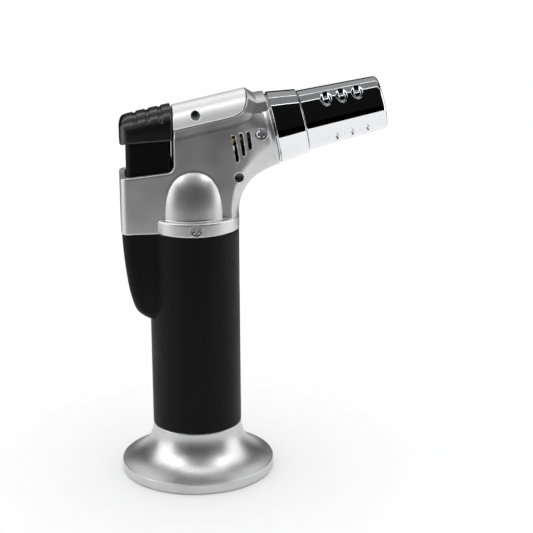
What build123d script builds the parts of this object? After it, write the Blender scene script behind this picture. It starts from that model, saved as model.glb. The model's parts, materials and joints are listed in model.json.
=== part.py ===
from build123d import *
import os
from math import atan2, cos, degrees, pi, radians, sin, sqrt, tan

# Hand-held butane torch: a round fuel-tank grip on a flared foot, a cast head with a thumb
# trigger at the back, and a burner nozzle that leans up and forward.
# Millimetres. Z is the tank axis, pointing up; X points forward, along the nozzle; Y is across.
# The origin is the middle of the foot, on the surface that the torch stands on.

# ---------------------------------------------------------------- driving dimensions
BASE_R = 30.0            # flared foot
RIM_H = 4.2              # upright rim of the foot
FLARE_R = 15.8           # hollow of the flare
GRIP_R = 17.4            # round grip
GRIP_Z0 = 20.0           # the grip sleeve starts here
HEAD_Z0 = 98.6           # the grip sleeve ends and the head starts here
LEDGE_Z = 104.0          # top of the ring round the head's foot
DOME_R = 15.2            # dome that rises from that ring, and its height
DOME_H = 25.4
HALF = 10.5              # half width of the head's flat sides
INNER_HALF = 8.5         # half width of the hollow between them
REAR_X = -27.8           # back of the head
GAP = 0.3                # clearance round moving parts

TILT = 12.0              # nozzle axis above the horizontal, degrees
SEAM = (29.9, 136.4)     # X, Z where the nozzle axis leaves the head
SEAM_R = 13.7            # round neck at the seam
COLLAR_L = 12.0          # chrome collar
COLLAR_R1 = 11.8
TUBE_R0 = 11.4           # chrome nozzle tube, at the collar and at the mouth
TUBE_R1 = 10.0
TUBE_WALL = 1.5
NOZZLE_END = 43.2        # mouth, measured along the nozzle axis from the seam
LIP_R = 1.3              # rounding of the mouth

COVER_H = 9.3            # lower edge of the top cover, above the nozzle axis
COVER_TOP = 17.0         # its ridge
COVER_HALF = 9.9         # its half width at the lower edge
COVER_END = -6.4         # its front end, along the nozzle axis
COVER_X0 = -7.6          # its back end, beside the thumb cap

SKIRT_X0, SKIRT_X1 = -25.2, -8.4
SKIRT_HALF = 8.1
CAP_X0, CAP_X1 = -27.5, -7.95
PIEZO_X = -20.6
VALVE_X = 7.5            # outlet valve and flame adjuster
FILL_X = -7.5            # filling valve
LEVER_PIVOT = (VALVE_X - 8.0, 104.0)
PORT_R = 2.05            # filling port
TANK_R = 15.0
TANK_Z0, TANK_Z1 = 9.0, 91.0
LID_TOP = 94.0

NOZZLE_DIR = (cos(radians(TILT)), 0, sin(radians(TILT)))


def on_axis(along, above=0.0):
    """X and Z of a point given along the nozzle axis from the seam, and above it."""
    c, s = cos(radians(TILT)), sin(radians(TILT))
    return (SEAM[0] + along * c - above * s, SEAM[1] + along * s + above * c)


def lean_plane(along):
    """Plane square to the nozzle axis with sketch x across and sketch y up."""
    x, z = on_axis(along)
    return Plane(origin=(x, 0, z), x_dir=(0, 1, 0), z_dir=NOZZLE_DIR)


# Side view along the nozzle: sketch x is the distance along the axis, sketch y the height above it.
NOZZLE_SIDE = Plane(origin=(SEAM[0], 0, SEAM[1]), x_dir=NOZZLE_DIR, z_dir=(0, -1, 0))
NOZZLE_AXIS = Axis((SEAM[0], 0, SEAM[1]), NOZZLE_DIR)


def upright(x, z=0.0):
    """Side-view plane whose sketch origin is at x, z: for profiles turned about an upright axis."""
    return Plane(origin=(x, 0, z), x_dir=(1, 0, 0), z_dir=(0, -1, 0))


def save(part, name):
    part.label = name
    export_step(part, f"parts/{name}.step")


os.makedirs("parts", exist_ok=True)

# ================================================================ foot
SCREW_CIRCLE = 20.0
FILL_HOLE_R = 6.0
DIAL_HOLE_R = 5.6

with BuildPart() as base:
    with BuildSketch(upright(0)):
        with BuildLine():
            flare_c = (GRIP_R + FLARE_R, 19.7)
            rim_a = atan2(RIM_H - flare_c[1], -sqrt(FLARE_R ** 2 - (RIM_H - flare_c[1]) ** 2))
            mid_a = (rim_a - pi) / 2
            rim = (BASE_R, RIM_H)
            middle = (flare_c[0] + FLARE_R * cos(mid_a), flare_c[1] + FLARE_R * sin(mid_a))
            ThreePointArc((GRIP_R, 19.7), middle, rim)
            Polyline(rim, (BASE_R, 0.7), (BASE_R - 0.4, 0.3), (27.5, 0.3), (27.5, 2.6),
                     (22.0, 5.2), (15.3, 8.8), (15.3, 19.7), (GRIP_R, 19.7))
        make_face()
    revolve(axis=Axis.Z)
    with BuildSketch(Plane.XY.offset(3.1)):
        with PolarLocations(SCREW_CIRCLE, 3, start_angle=60):
            Circle(2.6)
    extrude(amount=4.5)
    with BuildSketch(Plane.XY.offset(3.1)):
        with PolarLocations(SCREW_CIRCLE, 3, start_angle=60):
            Circle(1.1)
    extrude(amount=4.2, mode=Mode.SUBTRACT)
save(base.part, "base")

with BuildPart() as base_plate:
    with BuildSketch(Plane.XY.offset(1.3)):
        Circle(27.2)
        with Locations((FILL_X, 0)):
            Circle(FILL_HOLE_R, mode=Mode.SUBTRACT)
        with Locations((VALVE_X, 0)):
            Circle(DIAL_HOLE_R, mode=Mode.SUBTRACT)
    extrude(amount=1.3)
    with Locations(Plane.XY.offset(1.3)):
        with PolarLocations(SCREW_CIRCLE, 3, start_angle=60):
            Hole(1.3)
save(base_plate.part, "base_plate")

with BuildPart() as foot_pad:
    with BuildSketch(Plane.XY):
        Circle(26.6)
        with Locations((FILL_X, 0)):
            Circle(FILL_HOLE_R, mode=Mode.SUBTRACT)
        with Locations((VALVE_X, 0)):
            Circle(DIAL_HOLE_R, mode=Mode.SUBTRACT)
        with PolarLocations(SCREW_CIRCLE, 3, start_angle=60):
            Circle(2.6, mode=Mode.SUBTRACT)
    extrude(amount=1.3)
save(foot_pad.part, "foot_pad")

with BuildPart() as base_screws:
    with BuildSketch(Plane.XY.offset(1.3)):
        with PolarLocations(SCREW_CIRCLE, 3, start_angle=60):
            Circle(1.1)
    extrude(amount=5.8)
    with BuildSketch(Plane.XY.offset(0.4)):
        with PolarLocations(SCREW_CIRCLE, 3, start_angle=60):
            Circle(2.2)
    extrude(amount=0.9)
save(base_screws.part, "base_screws")

# ================================================================ grip sleeve with its rear rib
RIB_HALF = 10.6
RIB_OUTLINE = [(-27.6, HEAD_Z0), (-27.0, 87.8), (-26.4, 81.4), (-25.4, 74.9), (-23.4, 68.3),
               (-21.4, 65.0), (-18.6, 62.4), (-14.0, 59.6)]
HOUSING_Z0 = 82.0        # floor of the piezo housing inside the rib

with BuildPart() as grip_sleeve:
    with BuildSketch(Plane.XZ):
        with BuildLine():
            Spline(*RIB_OUTLINE)
            Polyline(RIB_OUTLINE[-1], (-14.0, HEAD_Z0), RIB_OUTLINE[0])
        make_face()
    extrude(amount=RIB_HALF, both=True)
    rib_edges = grip_sleeve.edges().filter_by(lambda e: e.center().X < -16 and abs(e.center().Y) > 10)
    rib_edges = rib_edges.filter_by(lambda e: e.center().Z < HEAD_Z0 - 0.1)
    fillet(rib_edges, 4.0)
    with BuildSketch(Plane.XY.offset(GRIP_Z0)):
        Circle(GRIP_R)
    extrude(amount=HEAD_Z0 - GRIP_Z0)
    with BuildSketch(Plane.XY.offset(GRIP_Z0)):
        Circle(TANK_R + GAP)
    extrude(amount=HEAD_Z0 - GRIP_Z0, mode=Mode.SUBTRACT)
    with BuildSketch(Plane.XY.offset(HOUSING_Z0)):
        with Locations((-18.9, 0)):
            Rectangle(11.8, 9.0)
    extrude(amount=HEAD_Z0 - HOUSING_Z0, mode=Mode.SUBTRACT)
save(grip_sleeve.part, "grip_sleeve")

# ================================================================ fuel tank and its lid
TANK_WALL = 1.3
VALVE_HOLE_R = 4.05
LID_PLUG_Z = 87.0
SEAL_Z = 89.0
ROD_R = 0.9

with BuildPart() as fuel_tank:
    with BuildSketch(Plane.XY.offset(TANK_Z0)):
        Circle(TANK_R)
    extrude(amount=TANK_Z1 - TANK_Z0)
    with BuildSketch(Plane.XY.offset(TANK_Z0 + 1.6)):
        Circle(TANK_R - TANK_WALL)
    extrude(amount=TANK_Z1 - TANK_Z0, mode=Mode.SUBTRACT)
    with BuildSketch(Plane.XY.offset(TANK_Z0)):
        with Locations((VALVE_X, 0)):
            Circle(3.4)
    extrude(amount=5.0)
    with BuildSketch(Plane.XY.offset(TANK_Z0)):
        with Locations((FILL_X, 0)):
            Circle(VALVE_HOLE_R)
        with Locations((VALVE_X, 0)):
            Circle(ROD_R + 0.05)
    extrude(amount=6.0, mode=Mode.SUBTRACT)
save(fuel_tank.part, "fuel_tank")

with BuildPart() as tank_lid:
    with BuildSketch(upright(0)):
        with BuildLine():
            plug = TANK_R - TANK_WALL - 0.05
            Polyline((0, LID_PLUG_Z), (plug, LID_PLUG_Z), (plug, SEAL_Z), (plug - 1.1, SEAL_Z),
                     (plug - 1.1, SEAL_Z + 1.5), (plug, SEAL_Z + 1.5), (plug, TANK_Z1),
                     (TANK_R, TANK_Z1), (TANK_R, LID_TOP), (0, LID_TOP), close=True)
        make_face()
    revolve(axis=Axis.Z)
    with BuildSketch(Plane.XY.offset(LID_PLUG_Z)):
        with Locations((VALVE_X, 0)):
            Circle(VALVE_HOLE_R)
    extrude(amount=10, mode=Mode.SUBTRACT)
save(tank_lid.part, "tank_lid")

with BuildPart() as tank_seal:
    with BuildSketch(upright(0)):
        with Locations((plug - 0.54, SEAL_Z + 0.75)):
            Circle(0.55)
    revolve(axis=Axis.Z)
save(tank_seal.part, "tank_seal")

# ================================================================ filling valve, turned about its own axis
def valve_axis(x):
    return Axis((x, 0, 0), (0, 0, 1))


FILL_SPRING = (10.1, 12.6)
fill_side = upright(FILL_X)

with BuildPart() as fill_valve_body:
    with BuildSketch(fill_side):
        with BuildLine():
            Polyline((PORT_R, 4.5), (3.6, 4.5), (4.0, 4.9), (4.0, 6.4), (5.4, 6.4), (5.4, 7.8),
                     (4.0, 7.8), (4.0, 13.8), (0.8, 13.8), (0.8, 12.6), (2.6, 12.6), (2.6, 9.0),
                     (1.0, 9.0), (1.0, 7.5), (PORT_R, 7.5), (PORT_R, 4.5))
        make_face()
    revolve(axis=valve_axis(FILL_X))
save(fill_valve_body.part, "fill_valve_body")

with BuildPart() as fill_valve_seal:
    with BuildSketch(fill_side):
        with Locations((4.7, 8.4)):
            Rectangle(1.3, 1.2)
    revolve(axis=valve_axis(FILL_X))
save(fill_valve_seal.part, "fill_valve_seal")

with BuildPart() as fill_valve_stem:
    with BuildSketch(fill_side):
        with BuildLine():
            Polyline((0, 7.55), (0.93, 7.55), (0.93, 9.05), (2.2, 9.05), (2.2, 10.05), (0, 10.05),
                     close=True)
        make_face()
    revolve(axis=valve_axis(FILL_X))
save(fill_valve_stem.part, "fill_valve_stem")


def coil(x, z0, z1, radius, wire, turns):
    """Coil spring on an upright axis, made as turned rings joined by one helix."""
    with BuildPart() as spring:
        with BuildLine():
            Helix(pitch=(z1 - z0 - wire) / turns, height=z1 - z0 - wire, radius=radius,
                  center=(x, 0, z0 + wire / 2))
        with BuildSketch(Plane(origin=(x + radius, 0, z0 + wire / 2), x_dir=(1, 0, 0), z_dir=(0, 1, 0))):
            Circle(wire / 2)
        sweep(is_frenet=True)
    return spring.part


save(coil(FILL_X, *FILL_SPRING, 1.9, 0.35, 3), "fill_valve_spring")

# ================================================================ outlet valve in the tank lid
STEM_TOP = 103.3         # top of the stem, just under the valve lever
out_side = upright(VALVE_X)

with BuildPart() as outlet_valve_body:
    with BuildSketch(out_side):
        with BuildLine():
            Polyline((1.1, 97.4), (2.3, 97.4), (2.3, 95.2), (5.0, 95.2), (5.0, LID_TOP), (4.0, LID_TOP),
                     (4.0, 84.0), (1.4, 84.0), (1.4, 85.2), (2.7, 85.2), (2.7, 93.4), (1.1, 93.4),
                     (1.1, 97.4))
        make_face()
    revolve(axis=valve_axis(VALVE_X))
    with BuildSketch(Plane.XY.offset(94.6)):
        with Locations((VALVE_X, 4.0)):
            Circle(0.9)
    extrude(amount=3.4)
save(outlet_valve_body.part, "outlet_valve_body")

# Pressing the stem opens the valve; the spring under its disc closes it again.
with BuildPart() as outlet_valve_stem:
    with BuildSketch(out_side):
        with BuildLine():
            Polyline((0, 92.4), (2.2, 92.4), (2.2, 93.35), (1.05, 93.35), (1.05, STEM_TOP), (0, STEM_TOP),
                     close=True)
        make_face()
    revolve(axis=valve_axis(VALVE_X))
save(outlet_valve_stem.part, "outlet_valve_stem")
save(coil(VALVE_X, 85.2, 92.4, 1.9, 0.4, 6), "outlet_valve_spring")

with BuildPart() as fuel_filter:
    with BuildSketch(Plane.XY.offset(78.0)):
        with Locations((VALVE_X, 0)):
            Circle(2.6)
            Circle(ROD_R + 0.3, mode=Mode.SUBTRACT)
    extrude(amount=6.0)
save(fuel_filter.part, "fuel_filter")

# Flame adjuster: a slotted dial under the foot turns a rod that ends in the outlet valve's seat.
with BuildPart() as adjuster_dial:
    with BuildSketch(Plane.XY.offset(1.5)):
        with Locations((VALVE_X, 0)):
            Circle(5.2)
    extrude(amount=2.6)
    with BuildSketch(Plane.XY.offset(4.1)):
        with Locations((VALVE_X, 0)):
            Circle(2.2)
    extrude(amount=4.6)
    with BuildSketch(Plane.XY.offset(1.5)):
        with Locations((VALVE_X, 0)):
            Rectangle(8.0, 1.2)
        with Locations((VALVE_X, 0)):
            with PolarLocations(5.4, 18):
                Circle(0.5)
    extrude(amount=1.2, mode=Mode.SUBTRACT)
    dial_rims = adjuster_dial.edges().group_by(Axis.Z)[0].filter_by(GeomType.CIRCLE)
    fillet(dial_rims.sort_by(SortBy.LENGTH)[-1:], 0.2)
save(adjuster_dial.part, "adjuster_dial")

with BuildPart() as regulator_rod:
    with BuildSketch(Plane.XY.offset(8.7)):
        with Locations((VALVE_X, 0)):
            Circle(ROD_R)
    extrude(amount=75.6 - 0.4 + 0.6)
save(regulator_rod.part, "regulator_rod")

# ================================================================ head casting
# The front of the head bends from upright on the grip to the lean of the nozzle. Each section of
# the bend lies in a plane through BEND and has a half-round front of its own radius.
BEND = (GRIP_R + 17.0, 0, 104.9)
BEND_SECTIONS = [        # turn in degrees, front distance, front radius, side end, back end
    (180, 17.0, 17.3, 60, 64),
    (160, 17.0, 14.6, 60, 64),
    (141, 17.0, 12.5, 60, 64),
    (123, 17.0, 11.5, 52, 57),
    (111, 17.05, 12.0, 40, 46.0),
]
WELL_X = -7.6            # upright wall in front of the trigger
WELL_FLOOR = (120.2, 122.3)

with BuildPart() as bend:
    for turn, near, radius, side_end, back_end in BEND_SECTIONS:
        a = radians(turn)
        with BuildSketch(Plane(origin=BEND, x_dir=(0, 1, 0), z_dir=(sin(a), 0, -cos(a)))):
            with BuildLine():
                ThreePointArc((-radius, near + radius), (0, near), (radius, near + radius))
                Line((radius, near + radius), (radius, side_end))
                ThreePointArc((radius, side_end), (0, back_end), (-radius, side_end))
                Line((-radius, side_end), (-radius, near + radius))
            make_face()
    seam_plane = Plane(origin=(SEAM[0], 0, SEAM[1]), x_dir=(0, 1, 0), z_dir=NOZZLE_DIR)
    with BuildSketch(seam_plane):
        with BuildLine():
            r = SEAM_R
            ThreePointArc((-r, 0), (0, -r), (r, 0))
            Line((r, 0), (r, 0.6))
            ThreePointArc((r, 0.6), (0, r + 0.6), (-r, 0.6))
            Line((-r, 0.6), (-r, 0))
        make_face()
    loft()
    with BuildSketch(Plane.XY.offset(HEAD_Z0)):
        Circle(17.3)
        with Locations((-25, 0)):
            Rectangle(50, 34.6)
    extrude(amount=BEND[2] - HEAD_Z0)

with BuildPart() as head_shell:
    with BuildSketch(Plane.XZ):
        with BuildLine():
            back = on_axis(0)[1] + (WELL_X - SEAM[0]) * tan(radians(TILT)) + COVER_H / cos(radians(TILT))
            Polyline((REAR_X, HEAD_Z0), (32.8, HEAD_Z0), on_axis(0, -SEAM_R), on_axis(0, SEAM_R + 0.6),
                     on_axis(-3.9, SEAM_R + 0.6), on_axis(COVER_END + 0.05, SEAM_R - 1),
                     on_axis(COVER_END + 0.05, COVER_H), (WELL_X, back),
                     (WELL_X, WELL_FLOOR[1]), (REAR_X, WELL_FLOOR[0]), close=True)
        make_face()
    extrude(amount=14.5, both=True)
    well_corner = head_shell.edges().filter_by(Axis.Y).sort_by_distance((WELL_X, 0, WELL_FLOOR[1]))[:1]
    fillet(well_corner, 3.6)
    with BuildSketch(Plane.XY.offset(HEAD_Z0)):
        with BuildLine():
            Polyline((16, HALF), (REAR_X, HALF), (REAR_X, -HALF), (16, -HALF))
            Spline((16, -HALF), (25, -12.0), (34, -SEAM_R - 0.1), tangents=[(1, 0), (1, -0.1)])
            Spline((16, HALF), (25, 12.0), (34, SEAM_R + 0.1), tangents=[(1, 0), (1, 0.1)])
            Line((34, -SEAM_R - 0.1), (34, SEAM_R + 0.1))
        make_face()
    extrude(amount=60, mode=Mode.INTERSECT)
    rear = head_shell.edges().filter_by(Axis.Z).group_by(Axis.X)[0]
    fillet(rear, 3.2)
    add(bend.part, mode=Mode.INTERSECT)
    # ring and dome over the grip
    with BuildSketch(upright(0)):
        with BuildLine():
            Polyline((0, HEAD_Z0), (GRIP_R, HEAD_Z0), (GRIP_R, LEDGE_Z - 0.6), (GRIP_R - 0.6, LEDGE_Z),
                     (0, LEDGE_Z), close=True)
        make_face()
    revolve(axis=Axis.Z)
    with BuildSketch(upright(0)):
        with BuildLine():
            Spline((DOME_R, LEDGE_Z - 1), (DOME_R, LEDGE_Z),
                   *[(DOME_R * cos(radians(t)), LEDGE_Z + DOME_H * sin(radians(t)))
                     for t in (15, 30, 45, 60, 75)], (0, LEDGE_Z + DOME_H),
                   tangents=[(0, 1), (-1, 0)])
            Polyline((0, LEDGE_Z + DOME_H), (0, LEDGE_Z - 1), (DOME_R, LEDGE_Z - 1))
        make_face()
    revolve(axis=Axis.Z)
    # top of the neck, a short round band
    with BuildSketch(lean_plane(COVER_END + 0.05)):
        Ellipse(SEAM_R - 1.9, SEAM_R - 0.4)
    with BuildSketch(lean_plane(0)):
        Circle(SEAM_R)
    loft()
    # hollows: trigger well, lever space, neck bore and the opening over the tank
    with BuildSketch(Plane.XY.offset(HEAD_Z0)):
        with Locations(((SKIRT_X0 + SKIRT_X1) / 2, 0)):
            Rectangle(SKIRT_X1 - SKIRT_X0 + 2 * GAP, 2 * INNER_HALF)
    extrude(amount=40, mode=Mode.SUBTRACT)
    with BuildSketch(Plane.XZ):
        with BuildLine():
            deck = back - 3.2
            Polyline((SKIRT_X1 - 1, HEAD_Z0), (14.5, HEAD_Z0), (14.8, 108), (17.5, 117), (22, 124),
                     on_axis(-5, 6.2), (-6.2, deck), (-6.2, WELL_FLOOR[1] - 1.6),
                     (SKIRT_X1 - 1, WELL_FLOOR[1] - 1.6), close=True)
        make_face()
    extrude(amount=INNER_HALF, both=True, mode=Mode.SUBTRACT)
    with BuildSketch(lean_plane(-14)):
        Circle(9.0)
    with BuildSketch(lean_plane(0.5)):
        Circle(11.4)
    loft(mode=Mode.SUBTRACT)
    with BuildSketch(upright(0)):
        with BuildLine():
            inner = DOME_R - 1.8
            Spline((inner, HEAD_Z0), (inner, LEDGE_Z), (inner * 0.87, LEDGE_Z + 11),
                   (inner * 0.5, LEDGE_Z + 19), (0, LEDGE_Z + 22), tangents=[(0, 1), (-1, 0)])
            Polyline((0, LEDGE_Z + 22), (0, HEAD_Z0), (inner, HEAD_Z0))
        make_face()
    revolve(axis=Axis.Z, mode=Mode.SUBTRACT)

SLOTS = [((14.83, 135.1), (16.23, 126.1)), ((17.6, 135.8), (18.65, 128.4)), ((20.33, 136.5), (21.1, 130.8))]
NECK_SCREW = (25.1, 136.3)
PANEL_SCREW = (16.8, 119.5)
COVER_SCREW = (0.9, 143.2)
RING_SCREW_Z = 101.15

with BuildPart() as slot_cutter:
    for top, bottom in SLOTS:
        length = sqrt((top[0] - bottom[0]) ** 2 + (top[1] - bottom[1]) ** 2) + 1.5
        angle = degrees(atan2(top[1] - bottom[1], top[0] - bottom[0]))
        with BuildSketch(Plane.XZ):
            with Locations(((top[0] + bottom[0]) / 2, (top[1] + bottom[1]) / 2)):
                SlotOverall(length, 1.5, rotation=angle)
        extrude(amount=15, both=True)

with BuildPart() as screw_wells:
    with BuildSketch(Plane.XZ):
        with Locations(NECK_SCREW):
            Circle(1.1)
    extrude(amount=16, both=True)
    with BuildSketch(Plane.XZ.offset(11.3)):
        with Locations(NECK_SCREW):
            Circle(2.0)
    extrude(amount=5)
    with BuildSketch(Plane.XZ.offset(-16.3)):
        with Locations(NECK_SCREW):
            Circle(2.0)
    extrude(amount=5)
    with BuildSketch(Plane.XZ.offset(6.4)):
        with Locations(PANEL_SCREW):
            Circle(1.75)
    extrude(amount=8)
    with BuildSketch(Plane.XZ.offset(3.5)):
        with Locations(PANEL_SCREW):
            Circle(0.95)
    extrude(amount=5)

with BuildPart() as ring_wells:
    with BuildSketch(Plane.XZ):
        with Locations((0, RING_SCREW_Z)):
            Circle(1.1)
    extrude(amount=20, both=True)
    for side in (16.3, -19.3):
        with BuildSketch(Plane.XZ.offset(side)):
            with Locations((0, RING_SCREW_Z)):
                Circle(2.0)
        extrude(amount=3)

with BuildPart() as head_final:
    add(head_shell.part)
    with BuildSketch(Plane.XZ.offset(4.0)):
        with Locations(PANEL_SCREW):
            Circle(2.7)
    extrude(amount=5.0)
    add(slot_cutter.part, mode=Mode.SUBTRACT)
    add(screw_wells.part, mode=Mode.SUBTRACT)
    add(ring_wells.part, mode=Mode.SUBTRACT)
save(head_final.part, "head_shell")

# ================================================================ top cover
def cover_outline(shrink):
    """Half-oval across the nozzle, from the cover's lower edge up to its ridge."""
    half = COVER_HALF - shrink
    top = COVER_TOP - shrink
    Spline((-half, COVER_H), (-half * 0.9, COVER_H + (top - COVER_H) * 0.46),
           (-half * 0.55, COVER_H + (top - COVER_H) * 0.84), (0, top),
           (half * 0.55, COVER_H + (top - COVER_H) * 0.84), (half * 0.9, COVER_H + (top - COVER_H) * 0.46),
           (half, COVER_H), tangents=[(0, 1), (0, -1)])
    Line((half, COVER_H), (-half, COVER_H))


COVER_LENGTH = 34.0
COVER_WALL = 1.5


with BuildPart() as cover_hollow:
    with BuildSketch(lean_plane(COVER_END - COVER_WALL)):
        with BuildLine():
            cover_outline(COVER_WALL)
        make_face()
    extrude(amount=-COVER_LENGTH)
    with BuildSketch(Plane.YZ.offset(COVER_X0 + COVER_WALL)):
        with Locations((0, 140)):
            Rectangle(40, 60)
    extrude(amount=-20, mode=Mode.SUBTRACT)

with BuildPart() as top_cover:
    with BuildSketch(lean_plane(COVER_END)):
        with BuildLine():
            cover_outline(0)
        make_face()
    extrude(amount=-COVER_LENGTH)
    with BuildSketch(Plane.YZ.offset(COVER_X0)):
        with Locations((0, 140)):
            Rectangle(40, 60)
    extrude(amount=-20, mode=Mode.SUBTRACT)
    add(cover_hollow.part, mode=Mode.SUBTRACT)
    with BuildSketch(Plane.XZ.offset(3.6)):
        with Locations(COVER_SCREW):
            Circle(2.7)
    extrude(amount=4.8)
    with BuildSketch(Plane.XZ.offset(5.4)):
        with Locations(COVER_SCREW):
            Circle(1.75)
    extrude(amount=8, mode=Mode.SUBTRACT)
    with BuildSketch(Plane.XZ.offset(3.0)):
        with Locations(COVER_SCREW):
            Circle(0.95)
    extrude(amount=4, mode=Mode.SUBTRACT)
save(top_cover.part, "top_cover")


# ================================================================ chrome collar and nozzle tube
def turned_on_nozzle(points):
    """Turn a side profile, given as distance along and height above the axis, about the nozzle axis."""
    with BuildPart() as turned:
        with BuildSketch(NOZZLE_SIDE):
            with BuildLine():
                Polyline(*points, close=True)
            make_face()
        revolve(axis=NOZZLE_AXIS)
    return turned.part


COLLAR_Z0 = 0.35
TUBE_Z0 = COLLAR_L + 0.25
nozzle_collar = turned_on_nozzle([
    (COLLAR_Z0, 9.9), (COLLAR_Z0, SEAM_R - 0.5), (COLLAR_Z0 + 0.5, SEAM_R), (COLLAR_L, COLLAR_R1 + 0.3),
    (COLLAR_L, 9.9)])
save(nozzle_collar, "nozzle_collar")


def tube_radius(along):
    return TUBE_R0 + (TUBE_R1 - TUBE_R0) * (along - TUBE_Z0) / (NOZZLE_END - TUBE_Z0)


DIMPLE_PITCH = 6.0
DIMPLE_FIRST = 22.0
DIMPLE_BALL = 3.0
DIMPLE_DEPTH = 0.8

with BuildPart() as nozzle_tube:
    with BuildSketch(NOZZLE_SIDE):
        with BuildLine():
            e, r1 = NOZZLE_END, TUBE_R1
            Polyline((TUBE_Z0, 9.8), (TUBE_Z0, TUBE_R0), (e - LIP_R, tube_radius(e - LIP_R)))
            ThreePointArc((e - LIP_R, tube_radius(e - LIP_R)), (e - 0.38, r1 - 0.35), (e, r1 - LIP_R))
            Polyline((e, r1 - LIP_R), (e - 0.4, r1 - TUBE_WALL), (TUBE_Z0 + 2, 9.8), (TUBE_Z0, 9.8))
        make_face()
    revolve(axis=NOZZLE_AXIS)
    for row in range(3):
        along = DIMPLE_FIRST + row * DIMPLE_PITCH
        with Locations(lean_plane(along)):
            with PolarLocations(tube_radius(along) - DIMPLE_DEPTH + DIMPLE_BALL, 4, start_angle=45):
                Sphere(DIMPLE_BALL, mode=Mode.SUBTRACT)
save(nozzle_tube.part, "nozzle_tube")

# ================================================================ burner inside the nozzle
MIXER_R = 4.4
ROD_OFFSET = 6.1         # ceramic insulator, above the nozzle axis
HOLDER = (29.0, 32.0)

save(turned_on_nozzle([(17, 7.8), (17, 8.25), (40.5, 8.25), (40.5, 7.8)]), "flame_guard")

with BuildPart() as mixer_tube:
    with BuildSketch(lean_plane(-12.2)):
        Circle(MIXER_R)
        Circle(MIXER_R - 0.7, mode=Mode.SUBTRACT)
    extrude(amount=12.2 + HOLDER[1] + 1)
    with BuildSketch(Plane.XZ):
        with Locations(on_axis(-7)):
            Circle(1.5)
    extrude(amount=8, both=True, mode=Mode.SUBTRACT)
save(mixer_tube.part, "mixer_tube")

with BuildPart() as gas_jet:
    with BuildSketch(lean_plane(-18)):
        Circle(3.4)
    extrude(amount=5.8)
    with BuildSketch(lean_plane(-12.2)):
        Circle(MIXER_R - 0.72)
    extrude(amount=2.5)
    with BuildSketch(lean_plane(-9.8)):
        Circle(0.35)
    extrude(amount=-4, mode=Mode.SUBTRACT)
    JET_X, JET_Z = on_axis(-16)
    with BuildSketch(Plane.XY.offset(127.2)):
        with Locations((JET_X, 0)):
            Circle(1.1)
    extrude(amount=JET_Z - 127.2)
save(gas_jet.part, "gas_jet")

with BuildPart() as flame_holder:
    with BuildSketch(lean_plane(HOLDER[0])):
        Circle(7.75)
        Circle(MIXER_R, mode=Mode.SUBTRACT)
        with PolarLocations(ROD_OFFSET, 12, start_angle=15):
            Circle(0.7, mode=Mode.SUBTRACT)
    extrude(amount=HOLDER[1] - HOLDER[0])
    with BuildSketch(lean_plane(HOLDER[0])):
        with Locations((0, ROD_OFFSET)):
            Circle(1.3)
    extrude(amount=HOLDER[1] - HOLDER[0], mode=Mode.SUBTRACT)
save(flame_holder.part, "flame_holder")

with BuildPart() as neck_plate:
    with BuildSketch(lean_plane(-1.6)):
        Circle(10.6)
        Circle(MIXER_R, mode=Mode.SUBTRACT)
        with PolarLocations(7.4, 5, start_angle=138):
            Circle(1.5, mode=Mode.SUBTRACT)
        with Locations((0, ROD_OFFSET)):
            Circle(1.3, mode=Mode.SUBTRACT)
    extrude(amount=1.4)
save(neck_plate.part, "neck_plate")

with BuildPart() as ceramic_insulator:
    with BuildSketch(lean_plane(-3.0)):
        with Locations((0, ROD_OFFSET)):
            Circle(1.28)
    extrude(amount=HOLDER[1] + 4.0)
save(ceramic_insulator.part, "ceramic_insulator")

with BuildPart() as spark_electrode:
    with BuildLine(NOZZLE_SIDE):
        FilletPolyline((HOLDER[1] + 1.0, ROD_OFFSET), (HOLDER[1] + 4.0, ROD_OFFSET),
                       (HOLDER[1] + 5.4, 3.6), radius=1.0)
    with BuildSketch(lean_plane(HOLDER[1] + 1.0)):
        with Locations((0, ROD_OFFSET)):
            Circle(0.4)
    sweep()
save(spark_electrode.part, "spark_electrode")


# ================================================================ gas tube and ignition wire
def cord(points, radius, name):
    """Round cord along straight runs joined by tangent arcs, each as large as its two runs allow."""
    pts = [Vector(*p) for p in points]
    with BuildPart() as body:
        with BuildLine() as path:
            start = pts[0]
            for before, corner, after in zip(pts, pts[1:], pts[2:]):
                a = (before - corner).normalized()
                b = (after - corner).normalized()
                half_turn = (pi - radians(a.get_angle(b))) / 2
                reach = 0.45 * min((before - corner).length, (after - corner).length)
                bend_r = reach / tan(half_turn)
                centre = corner + (a + b).normalized() * (bend_r / cos(half_turn))
                nearest = centre + (corner - centre).normalized() * bend_r
                Line(start, corner + a * reach)
                ThreePointArc(corner + a * reach, nearest, corner + b * reach)
                start = corner + b * reach
                print(name, "bend radius", round(bend_r, 1))
            Line(start, pts[-1])
        with BuildSketch(Plane(origin=pts[0], z_dir=(pts[1] - pts[0]).normalized())):
            Circle(radius)
        sweep()
    length = path.line.length if hasattr(path.line, "length") else sum(e.length for e in path.edges())
    print(name, "volume over section times length", round(body.part.volume / (length * pi * radius ** 2), 4))
    return body.part


GAS_TUBE = [(VALVE_X, 4.0, 98.0), (VALVE_X, 4.2, 107.5), (JET_X, 0, 117.5), (JET_X, 0, 127.2)]
save(cord(GAS_TUBE, 0.7, "gas_tube"), "gas_tube")
WIRE_END = on_axis(-3.0, ROD_OFFSET)
WIRE_LEAD = on_axis(-9.0, ROD_OFFSET)
WIRE = [(-16.4, 2.4, 104.0), (-11.2, 3.4, 104.6), (-5.6, 6.4, 108.0), (-0.5, 7.0, 116.0), (5.5, 6.6, 125.0),
        (11.6, 5.4, 134.6), (WIRE_LEAD[0], 0, WIRE_LEAD[1]), (WIRE_END[0], 0, WIRE_END[1])]
save(cord(WIRE, 0.8, "ignition_wire"), "ignition_wire")

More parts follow.
